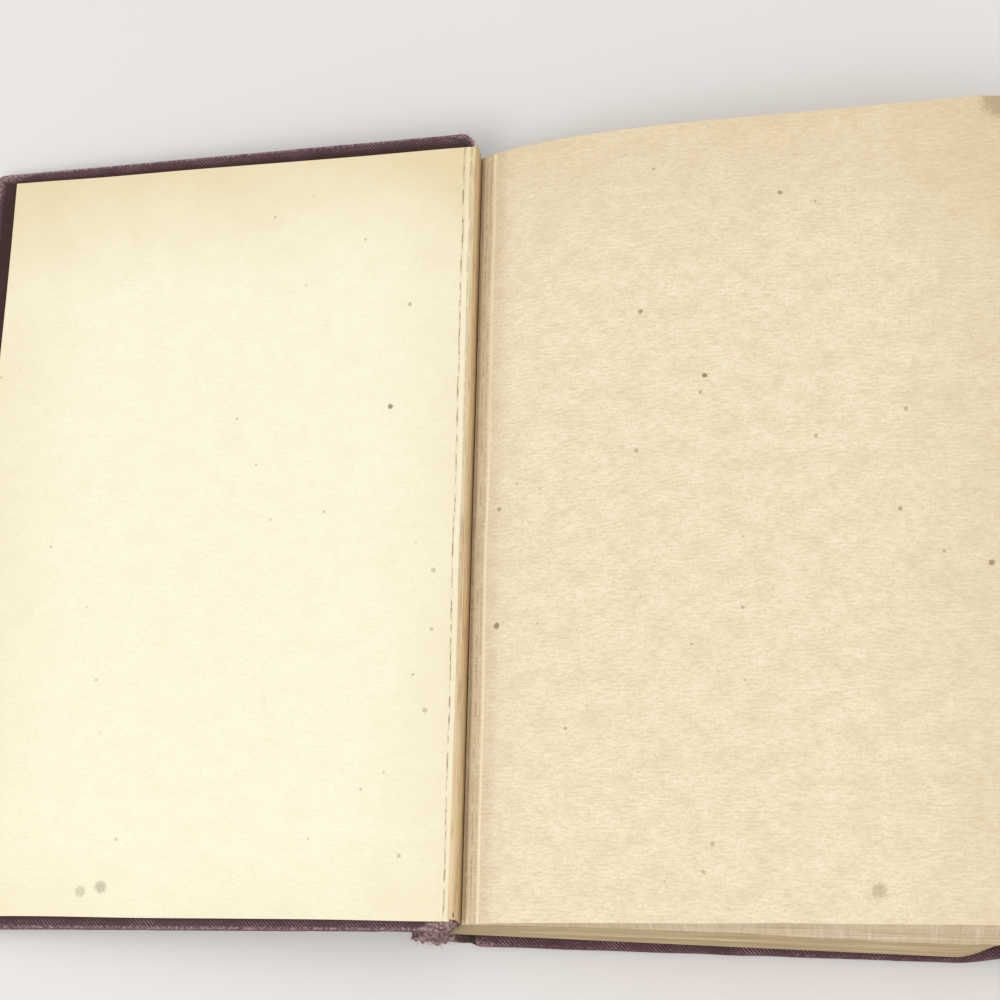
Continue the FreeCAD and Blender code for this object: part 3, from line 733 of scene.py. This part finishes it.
def spine_section():
    """
    The case cloth between the boards, in X and Z, as three runs that share their ends: the front joint,
    which drops in a pleat behind the gutter, the spine with its fold, and the back joint.
    """
    edge_x = -math.cos(FRONT_SLOPE) * FRONT_GAP + math.sin(FRONT_SLOPE) * COVER_THICK
    edge_z = FRONT_HINGE_Z - math.sin(FRONT_SLOPE) * FRONT_GAP - math.cos(FRONT_SLOPE) * COVER_THICK
    fall = bezier([(edge_x, edge_z), (-0.95, 10.2), (-1.25, 9.2), (-1.2, 8.3)], 16)
    rise = bezier([(-1.2, 8.3), (-1.15, 7.7), (-1.8, 8.5), SPINE_TOP], 16)
    centre = np.array([SPINE_BEND - SPINE_OVER, SPINE_BEND])
    reach = np.array(SPINE_TOP) - centre
    contact = math.atan2(reach[1], reach[0]) + math.acos(SPINE_BEND / np.hypot(*reach))
    angles = np.linspace(contact, math.radians(270.0), 26)
    fold = centre + SPINE_BEND * np.stack([np.cos(angles), np.sin(angles)], -1)
    down, flat = np.linspace(SPINE_TOP, fold[0], 20), np.linspace(fold[-1], SPINE_BACK, 24)
    back = bezier([SPINE_BACK, (3.1, 0.5), (3.7, 0.5), (BACK_GAP, 0.0)], 10)
    return np.concatenate([fall, rise[1:]]), np.concatenate([down, fold[1:], flat[1:]]), back


def make_case_cloth(look):
    """
    The case cloth between the boards: its section is carried along the book, each end rolled inwards by half
    a circle and back for the turn-in. The worn tail is crumpled by waves of 2 to 4 mm, and stands out further.
    """
    joint, spine, back = spine_section()
    section = np.concatenate([joint, spine[1:], back[1:]])
    pleat, first, last, end = 15, len(joint) - 1, len(joint) + len(spine) - 2, len(section) - 1
    steps = np.concatenate([[0.0], np.cumsum(np.hypot(*np.diff(section, axis=0).T))])
    tangent = np.gradient(section, axis=0)
    tangent /= np.hypot(*tangent.T)[:, None]
    inward_x, inward_z = -tangent[:, 1][:, None], tangent[:, 0][:, None]

    def run(*values):
        """Values at the front board, the pleat, both sides of the spine and the back board, for each row."""
        return np.interp(np.arange(end + 1.0), [0, pleat, first, last, end], values)[:, None]

    turns = run(0.0, 0.05, SPINE_TURN, SPINE_TURN, BACK_TURN)
    shifts = run(FRONT_SHIFT, 0.4, SPINE_SHIFT, SPINE_SHIFT, BACK_SHIFT)
    slack = run(0.15, 0.2, 1.0, 1.0, 0.3)
    bend = np.linspace(0.0, math.pi, 8)
    turn_in = np.array([0.6, 1.2, 1.8])
    main = np.concatenate(
        [-np.linspace(0.997, 0.93, 22), np.linspace(-0.925, 0.925, 90), np.linspace(0.93, 0.997, 12)]
    )
    ends_y, ends_n, ends_flat = [], [], []
    for half, sign, roll in (
        (run(95.3, 95.8, 97.5, 97.6, 97.1), -1.0, 0.62), (run(93.5, 93.7, 97.15, 97.15, 96.4), 1.0, 0.45)
    ):
        rolled = roll * slack
        outward = np.concatenate([rolled * (np.sin(bend) - 1.0), -rolled - turn_in], 1)
        upward = np.concatenate([rolled * (1.0 - np.cos(bend)), 2.0 * rolled + 0.0 * turn_in], 1)
        length = np.concatenate([rolled * bend, rolled * math.pi + turn_in], 1)
        ends_y.append(sign * (half + outward))
        ends_n.append(upward)
        ends_flat.append(sign * (half - rolled + length))
    middle = np.where(main < 0, -ends_y[0][:, :1], ends_y[1][:, :1]) * main
    y = np.concatenate([ends_y[0][:, ::-1], middle, ends_y[1]], 1)
    n = np.concatenate([ends_n[0][:, ::-1], middle * 0.0, ends_n[1]], 1)
    flat_y = np.concatenate([ends_flat[0][:, ::-1], middle, ends_flat[1]], 1)

    along = steps[:, None] + 0.0 * y
    worn = smooth(-y, 90.0, 96.0) * (1.0 - smooth(along, steps[last] - 9.0, steps[last] - 3.0))
    worn = worn + 0.25 * smooth(np.abs(y), 93.0, 96.5)
    crumpled = worn * slack
    y = y + crumpled * (waves(along, flat_y, 3.4, 61) * 0.5 + waves(along, flat_y, 1.6, 62) * 0.2)
    n = n + crumpled * (waves(along, flat_y, 3.0, 63) * 0.45 + 0.2) * smooth(np.abs(y), 93.0, 95.0)
    x = section[:, 0][:, None] + inward_x * n
    z = np.maximum(section[:, 1][:, None] + inward_z * n, 0.0)
    points = turned(stack(x, y + shifts, z), turns)
    flat = stack(along, flat_y)
    wear = worn * 0.9 + 0.3 * smooth(np.abs(y), 88.0, 96.0)
    # stain here is painted shadow of the leaves on the spine beside the back joint, towards both ends
    stain = 0.9 * smooth(along, steps[last] - 7.0, steps[last] - 1.0) * smooth(np.abs(y), 90.0, 96.0)

    pieces = []
    for name, low, high in (("front_joint", 0, first), ("spine_cover", first, last), ("back_joint", last, end)):
        part = slice(low, high + 1)
        quads = grid_quads(high + 1 - low, y.shape[1], 0, True)
        uv = flat[part].reshape(-1, 2)[quads.ravel()]
        notes = (("wear", wear[part]), ("stain", stain[part]))
        piece = mesh_piece(name, points[part].reshape(-1, 3), quads, look, uv, notes, 80.0)
        thicken(piece, CLOTH - 0.04)
        pieces.append(piece)
    front_joint, spine_cover, back_joint = pieces

    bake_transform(front_joint)
    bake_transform(back_joint)
    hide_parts("spine_cloth")
    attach(spine_cover, "book_block")
    width, length = steps[last] - steps[first], 2.0 * (COVER_HALF + 4.0)


def make_threads(name, roots, ways, lengths, seed, body, look):
    """
    Frayed threads: each a thin tube of four sides along a parabola from its root, bent aside by a random
    amount, and tapering to its tip.
    """
    rng = np.random.default_rng(seed)
    count, rings = len(roots), 8
    t = np.linspace(0.0, 1.0, rings)[None, :, None]
    bend = rng.normal(0.0, 0.55, (count, 1, 3)) * lengths[:, None, None]
    line = roots[:, None, :] + ways[:, None, :] * lengths[:, None, None] * t + bend * t * t
    line[..., 2] = np.maximum(line[..., 2], 0.15)
    angles = np.arange(4) * math.tau / 4.0
    side = np.cross(ways, [0.0, 0.0, 1.0])
    side /= np.linalg.norm(side, axis=1)[:, None]
    up = np.cross(side, ways)
    thick = 0.075 * (1.0 - 0.7 * t[..., None])
    ring = np.cos(angles)[None, None, :, None] * side[:, None, None, :]
    ring = ring + np.sin(angles)[None, None, :, None] * up[:, None, None, :]
    points = line[:, :, None, :] + ring * thick
    index = np.arange(count * rings * 4).reshape(count, rings, 4)
    follow = np.roll(index, -1, 2)
    walls = np.stack([index[:, :-1], index[:, 1:], follow[:, 1:], follow[:, :-1]], -1).reshape(-1, 4)
    ends = np.concatenate([index[:, 0, :], index[:, -1, ::-1]])
    piece = mesh_piece(name, points.reshape(-1, 3), np.concatenate([walls, ends]), look)
    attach(piece, body)


def make_fraying(look):
    """Threads at the worn tail of the spine, and round the head corner of the front board at the hinge."""
    rng = np.random.default_rng(71)
    count = 44
    x = rng.uniform(-11.0, -0.8, count)
    z = np.interp(x, [-11.0, -2.6, -0.8], [3.0, 9.4, 10.2]) + rng.uniform(-1.2, 0.4, count)
    roots = np.stack([x, rng.uniform(-98.9, -97.2, count), z], -1)
    ways = np.stack(
        [rng.normal(0, 0.7, count), rng.uniform(-1.0, 0.1, count), rng.normal(-0.1, 0.5, count)], -1
    )
    ways /= np.linalg.norm(ways, axis=1)[:, None]
    make_threads("tail_threads", roots, ways, rng.uniform(0.5, 1.6, count), 72, "book_block", look)

    count = 22
    angle = rng.uniform(0.0, math.radians(80.0), count)
    s = HINGE_CORNER - HINGE_CORNER * np.sin(angle)
    y = COVER_HALF - HINGE_CORNER + HINGE_CORNER * np.cos(angle)
    roots = on_front(s, y - 0.2, rng.uniform(1.6, 2.7, count))
    ways = np.stack(
        [np.sin(angle) + rng.normal(0, 0.5, count), np.cos(angle) * 0.6, rng.normal(0.2, 0.4, count)], -1
    )
    ways /= np.linalg.norm(ways, axis=1)[:, None]
    make_threads("corner_threads", roots, ways, rng.uniform(0.4, 1.1, count), 73, "front_cover", look)


# Floor, light and camera

def make_stage():
    """A pale floor that keeps the object's shadow, an even sky and one soft lamp from the tail side."""
    points = np.array([[-3000, -3000, -0.02], [3000, -3000, -0.02], [3000, 3000, -0.02], [-3000, 3000, -0.02]])
    paint = Look("floor_paint", 0.0).finish(rgb(235, 231, 228), 1.0)
    floor = mesh_piece("floor", points, np.array([[0, 1, 2, 3]]), paint)

    world = bpy.data.worlds.new("studio")
    bpy.context.scene.world = world
    world.use_nodes = True
    world.node_tree.nodes["Background"].inputs["Color"].default_value = (1.0, 1.0, 1.0, 1.0)
    world.node_tree.nodes["Background"].inputs["Strength"].default_value = 0.83

    place = Vector((-0.45, -0.75, 1.15))
    lamp = bpy.data.lights.new("softbox", "AREA")
    lamp.size = 0.8
    lamp.energy = 5.2
    holder = bpy.data.objects.new("softbox", lamp)
    holder.location = place
    holder.rotation_euler = (-place).to_track_quat("-Z", "Y").to_euler()
    bpy.context.scene.collection.objects.link(holder)


def make_camera():
    """The photograph's viewpoint, fitted to the outlines of the book."""
    x, y, z = (math.radians(a) for a in (15.68, 9.38, -1.33))
    turn = Matrix.Rotation(z, 4, "Z") @ Matrix.Rotation(x, 4, "X") @ Matrix.Rotation(y, 4, "Y")
    camera = bpy.data.objects.new("camera", bpy.data.cameras.new("camera"))
    camera.data.lens = 72.0
    camera.data.sensor_width = 36.0
    camera.data.clip_start = 0.01
    camera.matrix_world = Matrix.Translation((0.08101, -0.12422, 0.45906)) @ turn
    bpy.context.scene.collection.objects.link(camera)
    bpy.context.scene.camera = camera


# Finishes. The spots and creases are in millimetres on the page that carries them

LEFT_MARKS = (
    (-28, 71, 0.5, 0.35), (-16, 53, 0.6, 0.45), (-20, 27, 0.8, 0.75), (-52, 79, 0.5, 0.3), (-43, 60, 0.4, 0.3),
    (-49, 0, 0.5, 0.25), (-95, -20, 0.4, 0.25), (-91, -38, 0.6, 0.25), (-83, -76, 0.5, 0.3), (-8, -14, 0.7, 0.4),
    (-8, -28, 0.6, 0.35), (-9, -47, 0.8, 0.35), (-14, -80, 0.6, 0.35), (-91, -88, 1.6, 0.3), (-86, -87, 1.7, 0.38),
)
# Foxing spots, and last the wide mark at the head corner, which is painted shade on the bent corner
RIGHT_MARKS = (
    (44, 82, 0.5, 0.4), (74, 73, 0.7, 0.6), (41, 46, 0.7, 0.6), (56, 29, 0.7, 0.75), (55, 25, 0.5, 0.5),
    (101, 18, 0.6, 0.4), (40, 12, 0.6, 0.45), (81, 13, 0.6, 0.4), (7, 1, 0.7, 0.5), (99, -5, 0.6, 0.5),
    (108, -15, 0.5, 0.4), (118, -18, 0.8, 0.6), (7, -27, 0.9, 0.7), (64, -26, 0.6, 0.4), (121, -39, 0.6, 0.5),
    (24, -52, 0.5, 0.4), (57, -78, 0.7, 0.35), (55, -84, 0.6, 0.35), (92, -88, 2.0, 0.3), (124.5, 91.5, 5.0, 0.35),
)
# Lines along the creases by the gutter: dark ones painted shade in the hollows, pale ones painted highlight on the
# ridges
LEFT_CREASE_SHADING = ((-3.3, 0.28, 0.75, 0.42, 0), (-2.3, 0.5, 0.35, 0.30, 1), (-1.5, 0.5, 0.35, 0.35, 0))
RIGHT_CREASE_SHADING = (
    (0.5, 0.3, 0.4, 0.35, 0), (1.2, 0.3, 0.7, 0.30, 1), (1.9, 0.25, 0.45, 0.42, 0), (2.9, 0.3, 0.3, 0.36, 0),
    (3.8, 0.35, 0.9, 0.20, 1), (5.6, 2.2, 0.07, 0.10, 0),
)

cloth = cover_cloth_look()
board = board_look()
left_page = paper(
    "pastedown_paper", (rgb(253, 248, 221), rgb(234, 216, 174), rgb(236, 218, 180)), 0.20,
    (-125.5, -1.0, -94.0, 94.0), ((30.0, 0.40), (26.0, 0.36), (20.0, 0.22), (36.0, 0.85)),
    LEFT_MARKS, LEFT_CREASE_SHADING,
)
right_page = paper(
    "flyleaf_paper", (rgb(246, 232, 202), rgb(229, 209, 172), rgb(212, 190, 152)), 0.42,
    (0.0, 125.6, -94.0, 94.0), ((12.0, 0.10), (40.0, 0.62), (10.0, 0.10), (46.0, 0.72)),
    RIGHT_MARKS, RIGHT_CREASE_SHADING,
)
plain_page = paper(
    "back_paper", (rgb(240, 226, 196), rgb(226, 206, 170), rgb(212, 190, 152)), 0.40,
    (4.0, 130.0, -97.0, 92.0), ((20.0, 0.4), (30.0, 0.6), (20.0, 0.4), (30.0, 0.6)),
)

for node, look in (
    ("front_board", board), ("spine_inlay", board), ("super_gauze", gauze_look()), ("spine_lining", lining_look()),
):
    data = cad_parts[node].data
    data.materials.clear()
    data.materials.append(look)

make_flyleaf(right_page)
make_pages(leaf_edge_look())
make_front_pastedown(left_page)
make_inner_hinge(hinge_paper())
make_back_papers(plain_page)
make_back_board(board)
make_cover_cloth("front_cover_cloth", on_front, "front_cover", "front_cloth", 1, (2.2, HINGE_CORNER), 1.0, cloth)
make_cover_cloth("back_cover_cloth", on_back, "back_cover", "back_cloth", 0, (0.8, 2.2), 0.0, cloth)
make_case_cloth(cloth)
make_fraying(frayed_thread_look())
make_stage()
make_camera()
bpy.context.scene.view_settings.view_transform = "Standard"
